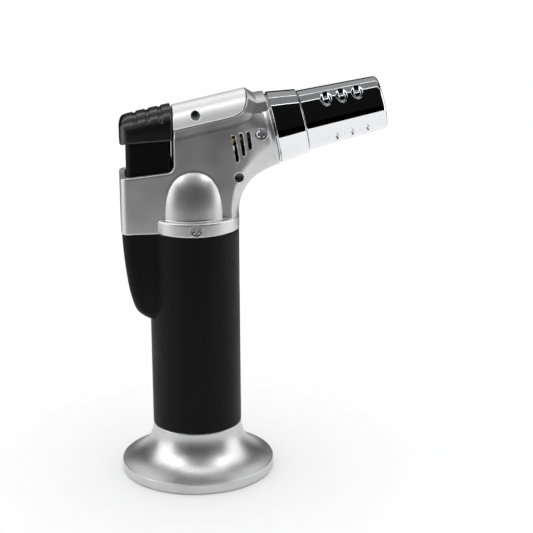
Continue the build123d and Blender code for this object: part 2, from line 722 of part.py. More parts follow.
# ================================================================ valve lever on its bracket
PIN_R = 1.0
with BuildPart() as lever_bracket:
    with BuildSketch(Plane.XY.offset(LID_TOP)):
        with Locations((-1.6, 0)):
            Rectangle(7.6, 10.6)
    extrude(amount=1.2)
    with BuildSketch(Plane.XZ):
        with BuildLine():
            Polyline((-3.6, LID_TOP), (2.2, LID_TOP), (1.6, 105.6), (-2.6, 105.6), close=True)
        make_face()
        with Locations(LEVER_PIVOT):
            Circle(PIN_R, mode=Mode.SUBTRACT)
    extrude(amount=5.3, both=True)
    with BuildSketch(Plane.XY.offset(LID_TOP + 1.2)):
        Rectangle(14, 7.0)
    extrude(amount=14, mode=Mode.SUBTRACT)
save(lever_bracket.part, "lever_bracket")

with BuildPart() as lever_pin:
    with BuildSketch(Plane.XZ):
        with Locations(LEVER_PIVOT):
            Circle(PIN_R)
    extrude(amount=5.6, both=True)
save(lever_pin.part, "lever_pin")

with BuildPart() as valve_lever:
    with BuildSketch(Plane.XZ):
        with BuildLine():
            px = LEVER_PIVOT[0]
            Polyline((px - 1, 117), (px + 1, 117), (px + 1.6, 107), (px + 4.5, STEM_TOP + 2.2),
                     (px + 10, STEM_TOP + 1.9), (px + 10, STEM_TOP + GAP), (px + 3.4, STEM_TOP + GAP),
                     (px + 2, 102.2), (px - 2.1, 102.2), (px - 2, 109.5), close=True)
        make_face()
        with Locations(LEVER_PIVOT):
            Circle(PIN_R + 0.05, mode=Mode.SUBTRACT)
    extrude(amount=2.6, both=True)
save(valve_lever.part, "valve_lever")

# ================================================================ piezo igniter
PIEZO_HALF = 4.0
PIEZO_TOP = 110.0
with BuildPart() as piezo_body:
    with BuildSketch(Plane.XY.offset(HOUSING_Z0)):
        with Locations((PIEZO_X, 0)):
            Rectangle(2 * PIEZO_HALF, 2 * PIEZO_HALF)
    extrude(amount=PIEZO_TOP - HOUSING_Z0)
    fillet(piezo_body.edges().filter_by(Axis.Z), 0.8)
    with BuildSketch(Plane.XY.offset(88)):
        with Locations((PIEZO_X, 0)):
            Rectangle(6.2, 6.2)
    extrude(amount=30, mode=Mode.SUBTRACT)
save(piezo_body.part, "piezo_body")

with BuildPart() as piezo_plunger:
    with BuildSketch(Plane.XY.offset(102)):
        with Locations((PIEZO_X, 0)):
            Rectangle(5.8, 5.8)
    extrude(amount=118.0 - 102)
    fillet(piezo_plunger.edges().filter_by(Axis.Z), 0.5)
save(piezo_plunger.part, "piezo_plunger")
save(coil(PIEZO_X, 88.0, 102.0, 2.2, 0.5, 7), "trigger_spring")

# ================================================================ trigger: skirt and thumb cap
SKIRT_Z0, SKIRT_Z1 = 115.6, 137.0
FINGER_X = LEVER_PIVOT[0] - 1.5       # tip of the finger that turns the valve lever
with BuildPart() as trigger_skirt:
    with BuildSketch(Plane.XY.offset(SKIRT_Z0)):
        with Locations(((SKIRT_X0 + SKIRT_X1) / 2, 0)):
            RectangleRounded(SKIRT_X1 - SKIRT_X0, 2 * SKIRT_HALF, 2.4)
    extrude(amount=SKIRT_Z1 - SKIRT_Z0)
    with BuildSketch(Plane.XY.offset(SKIRT_Z0)):
        with Locations(((SKIRT_X0 + SKIRT_X1) / 2, 0)):
            RectangleRounded(SKIRT_X1 - SKIRT_X0 - 3.2, 2 * SKIRT_HALF - 3.2, 1.0)
    extrude(amount=SKIRT_Z1 - SKIRT_Z0 - 2, mode=Mode.SUBTRACT)
    with BuildSketch(Plane.XY.offset(118.0)):
        with Locations((PIEZO_X, 0)):
            Rectangle(5.0, 5.0)
    extrude(amount=SKIRT_Z1 - 1.0 - 118.0)
    with BuildSketch(Plane.XY.offset(SKIRT_Z0)):
        with Locations(((SKIRT_X1 - 1.6 + FINGER_X) / 2, 0)):
            Rectangle(FINGER_X - SKIRT_X1 + 1.6, 3.6)
    extrude(amount=1.9)
save(trigger_skirt.part, "trigger_skirt")

CAP_HALF = 9.6
with BuildPart() as thumb_cap:
    with BuildSketch(Plane.XZ):
        with BuildLine():
            Polyline((CAP_X0, 132.6), (-25.6, 133.4), (CAP_X1, 134.8), (CAP_X1, 146.1), (-21.6, 143.6))
            Spline((-21.6, 143.6), (-25.4, 142.2), (CAP_X0, 138.6), tangents=[(-1, -0.18), (0, -1)])
            Line((CAP_X0, 138.6), (CAP_X0, 132.6))
        make_face()
    extrude(amount=CAP_HALF, both=True)
    rear_edges = thumb_cap.edges().filter_by(Axis.Z).group_by(Axis.X)[0]
    fillet(rear_edges, 3.2)
    with BuildSketch(Plane.XY.offset(130)):
        with Locations(((SKIRT_X0 + SKIRT_X1) / 2, 0)):
            RectangleRounded(SKIRT_X1 - SKIRT_X0, 2 * SKIRT_HALF, 2.4)
    extrude(amount=SKIRT_Z1 - 130, mode=Mode.SUBTRACT)
    with BuildSketch(Plane.XZ):
        with Locations((-21.6, 144.2), (-16.9, 145.0), (-12.4, 145.8)):
            Circle(0.8)
    extrude(amount=12, both=True, mode=Mode.SUBTRACT)
save(thumb_cap.part, "thumb_cap")


# ================================================================ screws
def side_screw(x, z, depth, side, head_r=1.9, shank=5.0, shank_r=1.05):
    """Cross-slotted round-head screw along Y: its head's outer face is at y = -depth * side."""
    y = -depth * side
    with BuildPart() as screw:
        with BuildSketch(Plane(origin=(x, y, z), x_dir=(1, 0, 0), z_dir=(0, -side, 0))):
            Circle(head_r)
        extrude(amount=-1.0)
        with BuildSketch(Plane(origin=(x, y, z), x_dir=(1, 0, 0), z_dir=(0, -side, 0))):
            Circle(shank_r)
        extrude(amount=-1.0 - shank)
        with BuildSketch(Plane(origin=(x, y, z), x_dir=(1, 0, 0), z_dir=(0, -side, 0))):
            Rectangle(2.2, 0.5)
            Rectangle(0.5, 2.2)
        extrude(amount=-0.6, mode=Mode.SUBTRACT)
    return screw.part


neck_screws = Compound(children=[side_screw(*NECK_SCREW, 12.4, s, shank=1.6) for s in (1, -1)])
save(neck_screws, "neck_screws")
ring_screws = Compound(children=[side_screw(0, RING_SCREW_Z, 17.35, s, shank=1.6) for s in (1, -1)])
save(ring_screws, "ring_screws")
panel_screws = Compound(children=[side_screw(*PANEL_SCREW, 7.4, 1, 1.6, 2.2, 0.9),
                                  side_screw(*COVER_SCREW, 6.4, 1, 1.6, 1.7, 0.9)])
save(panel_screws, "panel_screws")
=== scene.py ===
import json
from math import atan2, cos, pi, radians, sin
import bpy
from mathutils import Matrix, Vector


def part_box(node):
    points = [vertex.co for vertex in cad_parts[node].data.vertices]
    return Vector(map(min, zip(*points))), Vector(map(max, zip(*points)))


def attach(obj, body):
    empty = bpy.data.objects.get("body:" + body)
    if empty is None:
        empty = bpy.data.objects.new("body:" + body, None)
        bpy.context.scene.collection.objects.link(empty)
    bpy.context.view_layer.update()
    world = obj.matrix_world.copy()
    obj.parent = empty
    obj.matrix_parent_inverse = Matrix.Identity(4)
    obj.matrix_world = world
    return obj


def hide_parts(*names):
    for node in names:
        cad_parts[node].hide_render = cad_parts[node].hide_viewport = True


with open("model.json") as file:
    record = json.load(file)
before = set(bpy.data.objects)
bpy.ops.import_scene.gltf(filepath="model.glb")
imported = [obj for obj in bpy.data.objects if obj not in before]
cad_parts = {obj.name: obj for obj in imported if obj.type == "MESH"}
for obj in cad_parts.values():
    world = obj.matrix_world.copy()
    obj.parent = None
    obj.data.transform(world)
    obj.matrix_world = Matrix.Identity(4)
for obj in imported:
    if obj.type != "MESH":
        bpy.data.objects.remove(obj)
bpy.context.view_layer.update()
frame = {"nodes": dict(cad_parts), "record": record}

from types import SimpleNamespace

import bpy
import numpy as np
from mathutils import Matrix, Vector

bl_info = {
    "name": "Butane torch",
    "version": (1, 0, 0),
    "blender": (4, 5, 0),
    "location": "View3D > Sidebar > Torch",
    "description": "Skins, finishes and studio for a hand-held butane torch",
    "category": "Object",
}

MM = 0.001
SLOT_OF = {part["node"]: part["material_slot"] for part in frame["record"]["subparts"]}


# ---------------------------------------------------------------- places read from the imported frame
def face_of(node, side, axis):
    """One face of a CAD node's box in metres: side 0 is the lowest, side 1 the highest."""
    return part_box(node)[side][axis]


GRIP_R = face_of("grip_sleeve", 1, 1) / MM
GRIP_Z0 = face_of("grip_sleeve", 0, 2) / MM
HEAD_Z0 = face_of("head_shell", 0, 2) / MM
REAR_X = face_of("head_shell", 0, 0) / MM
FOOT_R = -face_of("base", 0, 0) / MM


# ---------------------------------------------------------------- sizes and colours a user would change
def length(name, description, default):
    """Property for a length in metres."""
    return bpy.props.FloatProperty(name=name, description=description, default=default, unit="LENGTH",
                                   precision=5)


def colour(name, description, default):
    """Property for a linear colour."""
    return bpy.props.FloatVectorProperty(name=name, description=description, default=default, size=3,
                                         subtype="COLOR", min=0, max=1)


def plain(name, description, default):
    """Property for a number without a unit."""
    return bpy.props.FloatProperty(name=name, description=description, default=default, min=0)


class TorchSizes(bpy.types.PropertyGroup):
    """Sizes of the skins that stand for CAD nodes"""

    head_cell: length("Head cell", "Side of the grid cells that the casting is meshed with", 0.00046)
    cover_cell: length("Cover cell", "Side of the grid cells that the cover is meshed with", 0.00034)
    cap_cell: length("Cap cell", "Side of the grid cells that the thumb cap is meshed with", 0.00032)
    flat: length("Flat", "Half the thickness between the head's flat sides", 0.0105)
    band: length("Band", "Half thickness of the head where the cover sits on it", 0.0091)
    wall: length("Wall", "Wall thickness of the casting", 0.002)
    neck_end: length("Neck radius", "Radius of the round neck at its seam", 0.0137)
    dome_radius: length("Dome radius", "Radius of the dome over the grip", 0.0149)
    dome_height: length("Dome height", "Height of the dome above the ring", 0.0212)
    slot_half: length("Air slot", "Half the width of the air slots", 0.00062)
    cover_half: length("Cover half width", "Half the width of the cover at its lower edge", 0.00975)
    cover_top: length("Cover height", "Height of the cover's top above the nozzle axis", 0.0171)
    seam: length("Seam", "Gap between the cover and the casting", 0.0002)
    groove_half: length("Groove", "Half the width of the thumb grooves", 0.00062)
    groove_depth: length("Groove depth", "Depth of the thumb grooves", 0.0006)
    foot_hollow: length("Foot hollow", "Radius of the hollow flare of the foot", 0.0158)
    foot_rim: length("Foot rim", "Height of the upright rim of the foot", 0.0042)
    rib_half: length("Rib half width", "Half the width of the rib behind the grip", 0.0106)
    rib_corner: length("Rib corner", "Radius of the rib's two long corners", 0.0036)
    dimple_depth: length("Dimple depth", "Depth of the dimples pressed into the nozzle", 0.0012)
    dimple_around: length("Dimple width", "Half the size of a dimple around the nozzle", 0.0032)
    dimple_along: length("Dimple length", "Half the size of a dimple along the nozzle", 0.0021)
    recess_half: length("Recess", "Half the width of a screw's cross recess", 0.00045)
    recess_depth: length("Recess depth", "Depth of a screw's cross recess", 0.0013)


class TorchColours(bpy.types.PropertyGroup):
    """Colours of the finishes"""

    casting: colour("Casting", "Satin silver of the casting and the foot", (0.60, 0.60, 0.605))
    cover: colour("Cover", "Satin silver of the cover", (0.8, 0.8, 0.805))
    chrome: colour("Chrome", "Bright chrome of the nozzle", (0.8, 0.81, 0.83))
    grip: colour("Grip", "Soft black of the grip", (0.003, 0.0031, 0.0036))
    trigger: colour("Trigger", "Black of the trigger and its cap", (0.003, 0.003, 0.0032))
    steel: colour("Steel", "Zinc-plated steel of screws and brackets", (0.55, 0.56, 0.58))
    brass: colour("Brass", "Brass of the valves", (0.72, 0.5, 0.2))
    tank: colour("Tank", "Milky plastic of the fuel tank", (0.8, 0.79, 0.74))
    floor: colour("Floor", "White of the studio floor", (0.95, 0.95, 0.95))


class TorchStudio(bpy.types.PropertyGroup):
    """Strengths of the studio lights, as radiance against a white of 1"""

    sky: plain("Sky", "White that lights matt surfaces and fills the background", 1.12)
    dusk: plain("Dusk", "Darker surroundings that gloss reflects", 0.006)
    left: plain("Left box", "Softbox on the left", 2.0)
    right: plain("Right box", "Softbox on the right", 1.8)
    top: plain("Top box", "Softbox above", 2.2)
    crown: plain("Crown box", "Softbox above and in front", 0.3)
    high: plain("High boxes", "Softboxes high on either side", 3.0)
    behind: plain("Back box", "Softbox high behind", 0.8)
    key: plain("Key", "Lamp that only matt surfaces see", 1.2)
    strip: plain("Strips", "Bright edges of the screens over the nozzle", 3.0)
    screen: plain("Screens", "Grey of the screens over the nozzle", 0.24)


def sizes():
    """The scene's sizes in millimetres."""
    group = bpy.context.scene.torch_sizes
    return SimpleNamespace(**{name: getattr(group, name) / MM for name in TorchSizes.__annotations__})


# ---------------------------------------------------------------- the head's side view, in millimetres
TILT = radians(12.0)
SEAM = (29.9, 136.4)
BEND = (GRIP_R + 17.0, 104.9)
BEND_R = 17.0
CHIN = (27.1, 120.3)
CHIN_SLOPE = (0.904, 0.4274)
LEDGE_Z = 104.0
WELL_X = -7.6
COVER_LOW = 9.3


def along_above(x, z):
    """Side-view coordinates along the nozzle axis from the neck seam, and above that axis."""
    dx, dz = x - SEAM[0], z - SEAM[1]
    return dx * cos(TILT) + dz * sin(TILT), dz * cos(TILT) - dx * sin(TILT)


def on_axis(along, above=0.0):
    """Side-view x, z of a point given along the nozzle axis and above it."""
    return SEAM[0] + along * cos(TILT) - above * sin(TILT), SEAM[1] + along * sin(TILT) + above * cos(TILT)


# ---------------------------------------------------------------- outlines
def curve(points, steps=6):
    """Catmull-Rom curve through points: a cubic between each two, its tangents along the chord between
    the neighbours on either side."""
    p = np.asarray(points, float)
    p = np.vstack([2 * p[0] - p[1], p, 2 * p[-1] - p[-2]])
    t = np.linspace(0, 1, steps, endpoint=False)[:, None]
    spans = [
        0.5 * (2 * b + (c - a) * t + (2 * a - 5 * b + 4 * c - d) * t ** 2 + (3 * b - a - 3 * c + d) * t ** 3)
        for a, b, c, d in zip(p, p[1:], p[2:], p[3:])
    ]
    return np.vstack(spans + [p[-2:-1]])


def rounded(points, steps=5):
    """Outline through corners (x, y, radius): each corner is an arc that meets both its sides squarely to
    the radius, as wide as the radius or as half the shorter side allows."""
    p = np.asarray(points, float)
    out = [p[0, :2]]
    for before, corner, after in zip(p, p[1:], p[2:]):
        if corner[2] <= 0:
            out.append(corner[:2])
            continue
        a, b = before[:2] - corner[:2], after[:2] - corner[:2]
        la, lb = np.hypot(*a), np.hypot(*b)
        a, b = a / la, b / lb
        half = np.arccos(np.clip(a @ b, -1, 1)) / 2
        reach = min(corner[2] / np.tan(half), 0.48 * la, 0.48 * lb)
        centre = corner[:2] + (a + b) / np.hypot(*(a + b)) * reach / np.cos(half)
        s, e = corner[:2] + a * reach - centre, corner[:2] + b * reach - centre
        sweep = np.arctan2(s[0] * e[1] - s[1] * e[0], s @ e)
        for t in np.linspace(0, sweep, steps + 1):
            out.append(centre + [s[0] * cos(t) - s[1] * sin(t), s[0] * sin(t) + s[1] * cos(t)])
    out.append(p[-1, :2])
    return np.array(out)


def outline_distance(x, z, points):
    """Signed distance to a closed outline: the least distance to any side, negative inside, where a ray
    to the right crosses the sides an odd number of times."""
    best = np.full(np.broadcast(x, z).shape, 1e9)
    inside = np.zeros(best.shape, bool)
    for (ax, az), (bx, bz) in zip(points, np.roll(points, -1, 0)):
        ex, ez = bx - ax, bz - az
        wx, wz = x - ax, z - az
        t = np.clip((wx * ex + wz * ez) / (ex * ex + ez * ez + 1e-12), 0, 1)
        best = np.minimum(best, (wx - ex * t) ** 2 + (wz - ez * t) ** 2)
        if az != bz:
            inside ^= ((az > z) != (bz > z)) & (x < ex * (z - az) / ez + ax)
    return np.where(inside, -1, 1) * np.sqrt(best)


def segment_distance(x, z, a, b):
    """Distance to the line from a to b: to its nearest point between the two ends."""
    ex, ez = b[0] - a[0], b[1] - a[1]
    t = np.clip(((x - a[0]) * ex + (z - a[1]) * ez) / (ex * ex + ez * ez), 0, 1)
    return np.sqrt((x - a[0] - ex * t) ** 2 + (z - a[1] - ez * t) ** 2)


# ---------------------------------------------------------------- distance fields
def both(a, b, r):
    """Intersection of two fields: the greater, with an edge rounded to radius r."""
    corner = np.sqrt(np.maximum(a + r, 0) ** 2 + np.maximum(b + r, 0) ** 2) - r
    return np.where((a > -r) & (b > -r), corner, np.maximum(a, b))


def either(a, b, r):
    """Union of two fields: the lesser, with an inner corner filled to radius r."""
    return -both(-a, -b, r)


def power_sum(a, b, power):
    """Radius of a superellipse: the two shares raised to a power, added, and brought back down."""
    return (np.abs(a) ** power + np.abs(b) ** power) ** (1 / power)


# ---------------------------------------------------------------- meshes
def add_mesh(name, co, faces, normal=None):
    """New smooth-shaded object at the origin from points in millimetres and arrays of faces, turned
    outwards if the volume under its faces comes out negative."""
    co = np.asarray(co, float)
    volume = 0.0
    for block in faces:
        a = co[block[:, 0]]
        for k in range(1, block.shape[1] - 1):
            volume += (a * np.cross(co[block[:, k]], co[block[:, k + 1]])).sum()
    if volume < 0:
        faces = [block[:, ::-1] for block in faces]
    counts = np.concatenate([np.full(len(block), block.shape[1], np.int32) for block in faces])
    corners = np.concatenate([block.ravel() for block in faces]).astype(np.int32)
    mesh = bpy.data.meshes.new(name)
    mesh.vertices.add(len(co))
    mesh.vertices.foreach_set("co", (co * MM).astype(np.float32).ravel())
    mesh.loops.add(len(corners))
    mesh.loops.foreach_set("vertex_index", corners)
    mesh.polygons.add(len(counts))
    mesh.polygons.foreach_set("loop_start", np.cumsum(counts, dtype=np.int32) - counts)
    mesh.polygons.foreach_set("loop_total", counts)
    mesh.update(calc_edges=True)
    mesh.validate()
    mesh.polygons.foreach_set("use_smooth", np.ones(len(mesh.polygons), bool))
    if normal is not None:
        mesh.normals_split_custom_set_from_vertices(normal.astype(np.float32))
    piece = bpy.data.objects.new(name, mesh)
    bpy.context.scene.collection.objects.link(piece)
    return piece


def skin(name, *grids, tube=True):
    """Surface over grids of points, each closed round its rows. A tube also closes from its last row to its
    first; otherwise each end row is closed by triangles to its middle."""
    points, faces, start = [], [], 0
    for rows in grids:
        n, m = rows.shape[:2]
        i, j = np.meshgrid(np.arange(n if tube else n - 1), np.arange(m), indexing="ij")
        up, k = (i + 1) % n, (j + 1) % m
        faces.append(start + np.stack([i * m + j, i * m + k, up * m + k, up * m + j], -1).reshape(-1, 4))
        points.append(rows.reshape(-1, 3))
        if not tube:
            j, k, end = j[0], k[0], (n - 1) * m
            faces.append(start + np.stack([np.full(m, n * m), k, j], 1))
            faces.append(start + np.stack([np.full(m, n * m + 1), end + j, end + k], 1))
            points.append(np.array([rows[0].mean(0), rows[-1].mean(0)]))
        start += n * m + (0 if tube else 2)
    return add_mesh(name, np.vstack(points), faces)


def turned(profile, sectors, dent=None):
    """Grid of a surface of revolution: profile points (radius, height) carried round the axis, with dent
    taken off the radius as a function of angle and height."""
    angle = np.linspace(0, 2 * pi, sectors, endpoint=False)
    a, r = np.meshgrid(angle, profile[:, 0])
    h = np.broadcast_to(profile[:, 1:2], a.shape)
    if dent is not None:
        r = r - dent(a, h)
    return np.stack([r * np.cos(a), r * np.sin(a), h], -1)


def field_mesh(name, field, low, high, cell):
    """Mesh of a field's zero surface. The field is sampled on a grid of cells; each cell that the surface
    crosses gets one point, the mean of the crossings on its edges, moved onto the surface along the
    gradient, and each grid edge that the surface crosses gets one quad round it."""
    axes = [np.arange(a - cell, b + 2 * cell, cell) for a, b in zip(low, high)]
    f = field(axes[0][:, None, None], axes[1][None, :, None], axes[2][None, None, :])
    f = np.broadcast_to(f, [len(a) for a in axes]).astype(np.float32)
    inner = f < 0
    n = np.array(f.shape) - 1
    total = np.zeros(tuple(n) + (3,), np.float32)
    count = np.zeros(tuple(n), np.float32)

    def share(a, c):
        return a[c[0]:c[0] + n[0], c[1]:c[1] + n[1], c[2]:c[2] + n[2]]

    for c in [(i, j, k) for i in (0, 1) for j in (0, 1) for k in (0, 1)]:
        for axis in range(3):
            if c[axis]:
                continue
            d = [1 if k == axis else c[k] for k in range(3)]
            fa, fb = share(f, c), share(f, d)
            cut = share(inner, c) != share(inner, d)
            t = np.where(cut, fa / np.where(cut, fa - fb, 1), 0)
            for k in range(3):
                total[..., k] += np.where(cut, c[k] + (t if k == axis else 0), 0)
            count += cut
    used = count > 0
    index = np.full(used.shape, -1, np.int64)
    index[used] = np.arange(used.sum())
    co = (np.argwhere(used) + total[used] / count[used][:, None]) * cell + np.array([a[0] for a in axes])
    quads = []
    for axis in range(3):
        u, v = (axis + 1) % 3, (axis + 2) % 3
        one, two = [slice(1, -1)] * 3, [slice(1, -1)] * 3
        one[axis], two[axis] = slice(0, -1), slice(1, None)
        cut = inner[tuple(one)] != inner[tuple(two)]
        at = np.argwhere(cut) + np.array([1 if k != axis else 0 for k in range(3)])
        ring = []
        for du, dv in ((1, 1), (0, 1), (0, 0), (1, 0)):
            q = at.copy()
            q[:, u] -= du
            q[:, v] -= dv
            ring.append(index[q[:, 0], q[:, 1], q[:, 2]])
        ring = np.stack(ring, 1)
        quads.append(np.where(inner[tuple(one)][cut][:, None], ring, ring[:, ::-1]))
    step = 0.02
    for _ in range(3):
        x, y, z = co.T
        slope = np.stack([field(x + step, y, z) - field(x - step, y, z),
                          field(x, y + step, z) - field(x, y - step, z),
                          field(x, y, z + step) - field(x, y, z - step)], 1) / (2 * step)
        steep = np.maximum((slope * slope).sum(1), 0.2)
        co = co - slope * np.clip(field(x, y, z) / steep, -0.6 * cell, 0.6 * cell)[:, None]
    normal = slope / np.maximum(np.linalg.norm(slope, axis=1), 1e-9)[:, None]
    return add_mesh(name, co, [np.vstack(quads)], normal)


def dress(piece, node, body="torch"):
    """Give a new piece the finish and slot of the CAD node that it replaces, and let it ride on a body."""
    piece.data.materials.append(bpy.data.materials[SLOT_OF[node]])
    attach(piece, body)
    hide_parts(node)


# ---------------------------------------------------------------- cast head, its cover and the thumb cap
COVER_EDGE = curve([on_axis(-40.5, 9.3), on_axis(-28, 9.25), on_axis(-16, 9.2), on_axis(-12.4, 9.5),
                    on_axis(-9.6, 10.6), on_axis(-8.1, 12.4), on_axis(-7.1, 14.6), on_axis(-6.4, 17.4)])
COVER_SIDE = np.vstack([COVER_EDGE, [on_axis(-6.2, 24)], [on_axis(-44, 24)]])
HEAD_SIDE = rounded([(20, 60, 0), (60, 60, 0), on_axis(30, 40) + (0,), (WELL_X, 150, 0), (WELL_X, 122.3, 2.8),
                     (REAR_X, 120.2, 0.5), (REAR_X, 60, 0), (20, 60, 0)])[:-1]
TURNS = np.radians([-90, 0, 17, 30.6, 44.7, 56.6, 67, 120])
TURN_RADII = [17.4, 17.4, 15.4, 13.4, 11.7, 11.0, 10.8, 10.8]
SWELL_LENGTH = 12.5      # the neck swells to its circle over this length, and widens by so much
SWELL_WIDTH = 3.2
BAND_DEPTH = 3.7         # the flats slope in over this depth below the cover
PEAK_ALONG = [-60, -6.7, -3.6, 0.7]
PEAK_HEIGHT = [17.35, 17.35, 14.1, 13.7]
REAR_CORNER = 3.2
DOME_X = -0.5
DOME_POWER = 2.9
BARREL_POWER = 2.25
SKIRT_X = -16.8          # middle of the trigger skirt, its half length and half width
SKIRT_HALF = (8.4, 8.1)
WELL_HALF = (8.7, 8.5)
SKIRT_CORNER = 2.4
SLOTS = [((14.83, 135.1), (16.23, 126.1)), ((17.6, 135.8), (18.65, 128.4)), ((20.33, 136.5), (21.1, 130.8))]
NECK_SCREW = (25.1, 136.3)
PANEL_SCREW = (16.8, 119.5)
COVER_SCREW = (0.9, 143.2)
RING_SCREW = (0.0, 101.15)
HEAD_WELL_R = 2.0        # wells of the neck and ring screws, and of the two deep screws on the near side
SIDE_WELL_R = 1.75
SLOT_FLOOR = 7.0         # how near the middle plane each cut goes
NECK_FLOOR = 11.3
RING_FLOOR = 16.3
PANEL_FLOOR = 6.4
COVER_FLOOR = 5.0
WELL_EDGE = 0.2


def barrel(y, above, half, top):
    """Half-barrel section: a superellipse over the width, standing on the cover's lower edge."""
    height = np.maximum(above - COVER_LOW, 0) / (top - COVER_LOW)
    return (power_sum(y / half, height, BARREL_POWER) - 1) * 0.5 * (half + top - COVER_LOW)


def screw_well(x, z, at, radius):
    """Distance to a round well across the head."""
    return np.sqrt((x - at[0]) ** 2 + (z - at[1]) ** 2) - radius


def head_solid(x, y, z, s):
    """Outside of the casting. A slab between two flats has a front that follows a concave arc and then a
    straight chin, round over its width; towards the neck both the flats and the round front swell into
    the circle of the seam. A sloping band leads from each flat up to the cover's seat, and the top falls
    from the end of the cover to the neck. The slab joins a ring, and a dome that is a superellipse."""
    ay = np.abs(y)
    along, above = along_above(x, z)
    ahead = (x - CHIN[0]) * CHIN_SLOPE[0] + (z - CHIN[1]) * CHIN_SLOPE[1]
    chin = (z - CHIN[1]) * CHIN_SLOPE[0] - (x - CHIN[0]) * CHIN_SLOPE[1]
    arc = np.sqrt((BEND[0] - x) ** 2 + np.maximum(z - BEND[1], 0) ** 2) - BEND_R
    front = np.where(ahead > 0, chin, arc)
    u = np.clip((along + SWELL_LENGTH) / SWELL_LENGTH, 0, 1)
    swell = u * u * (3 - 2 * u)
    turn = np.arctan2(np.maximum(z - BEND[1], 0), BEND[0] - x)
    r = np.interp(turn, TURNS, TURN_RADII)
    r = r + (s.neck_end - r) * swell
    nose = np.where(front > r, ay - r, np.sqrt(ay ** 2 + np.maximum(r - front, 0) ** 2) - r)
    seat = outline_distance(x, z, COVER_SIDE)
    half = np.minimum(s.flat, s.band + (s.flat - s.band) * np.maximum(seat, 0) / BAND_DEPTH)
    circle = np.sqrt(np.maximum(s.neck_end ** 2 - np.clip(above, 0, 11) ** 2, 0))
    side = ay - half - np.maximum(circle - half, 0) * swell
    slab = both(np.maximum(nose, -front), side, 0.5)
    slab = both(slab, outline_distance(x, z, HEAD_SIDE), 0.9)
    slab = np.maximum(slab, both(REAR_X - x, side, REAR_CORNER))
    peak = np.interp(along, PEAK_ALONG, PEAK_HEIGHT)
    slab = both(slab, barrel(y, above, s.flat + SWELL_WIDTH * swell, peak), 0.4)
    neck = both(np.sqrt(y ** 2 + above ** 2) - s.neck_end, -1.6 - along, 0.5)
    head = either(slab, neck, 1.0)
    head = np.where(ahead > 0, np.maximum(head, -chin), head)
    head = both(both(head, along - 0.1, 0.5), s.seam - seat, 0.3)
    ring = both(np.sqrt(x ** 2 + y ** 2) - GRIP_R, z - LEDGE_Z, 0.7)
    radius = np.sqrt((x - DOME_X) ** 2 + y ** 2)
    rise = np.maximum(z - LEDGE_Z, 0) / s.dome_height
    dome = power_sum(radius / s.dome_radius, rise, DOME_POWER) - 1
    return either(either(ring, dome * s.dome_radius, 0.35), head, 0.3)


def head_field(x, y, z, s):
    """The casting with its hollow, trigger well, air slots and screw wells cut."""
    ay = np.abs(y)
    solid = head_solid(x, y, z, s)
    f = both(solid, HEAD_Z0 - z, 0.35)
    f = both(f, -both(np.abs(x - SKIRT_X) - WELL_HALF[0], ay - WELL_HALF[1], SKIRT_CORNER), 0.35)
    f = np.maximum(f, -np.maximum(solid + s.wall, HEAD_Z0 - 2 - z))
    slots = np.minimum.reduce([segment_distance(x, z, a, b) for a, b in SLOTS]) - s.slot_half
    f = both(f, -np.maximum(slots, SLOT_FLOOR - ay), 0.3)
    f = both(f, -np.maximum(screw_well(x, z, NECK_SCREW, HEAD_WELL_R), NECK_FLOOR - ay), WELL_EDGE)
    f = both(f, -np.maximum(screw_well(x, z, PANEL_SCREW, SIDE_WELL_R), y + PANEL_FLOOR), WELL_EDGE)
    return both(f, -np.maximum(screw_well(x, z, RING_SCREW, HEAD_WELL_R), RING_FLOOR - ay), WELL_EDGE)


def cover_field(x, y, z, s):
    """Half-barrel cover, ended in front by its side-view curve and behind by a straight edge."""
    above = along_above(x, z)[1]
    f = both(barrel(y, above, s.cover_half, s.cover_top), outline_distance(x, z, COVER_SIDE), 0.5)
    f = both(f, WELL_X + 0.05 - x, 0.4)
    return both(f, -np.maximum(screw_well(x, z, COVER_SCREW, SIDE_WELL_R), y + COVER_FLOOR), WELL_EDGE)


CAP_REAR = -27.5
CAP_SIDE = rounded([(-10, 133.9, 0), (-7.95, 134.2, 0.6), (-7.95, 146.35, 0.8), (-15, 145.0, 0),
                    (-21.6, 143.6, 6), (-26.3, 142.3, 3.2), (CAP_REAR, 138.2, 2.5), (CAP_REAR, 132.5, 0.5),
                    (-25.3, 133.2, 0.5), (-10, 133.9, 0)])[:-1]
CAP_SHOULDER = (-26.86, 135.1, 0.19)     # x, z and slope of the line that the arch starts from
CAP_RIDGE = (-25.15, 142.3, 0.225)       # the same for the arch's top, and its greatest height
CAP_RIDGE_TOP = 146.6
CAP_POWER = 2.4
CAP_CORNER = 4.2
CAP_ROOM_Z = 136.9       # the skirt reaches up to here inside the cap
GROOVE_LEAN = 0.06
GROOVE_END = 141
GROOVES = [(-21.64, 144.3), (-16.95, 145.4), (-12.3, 146.4)]


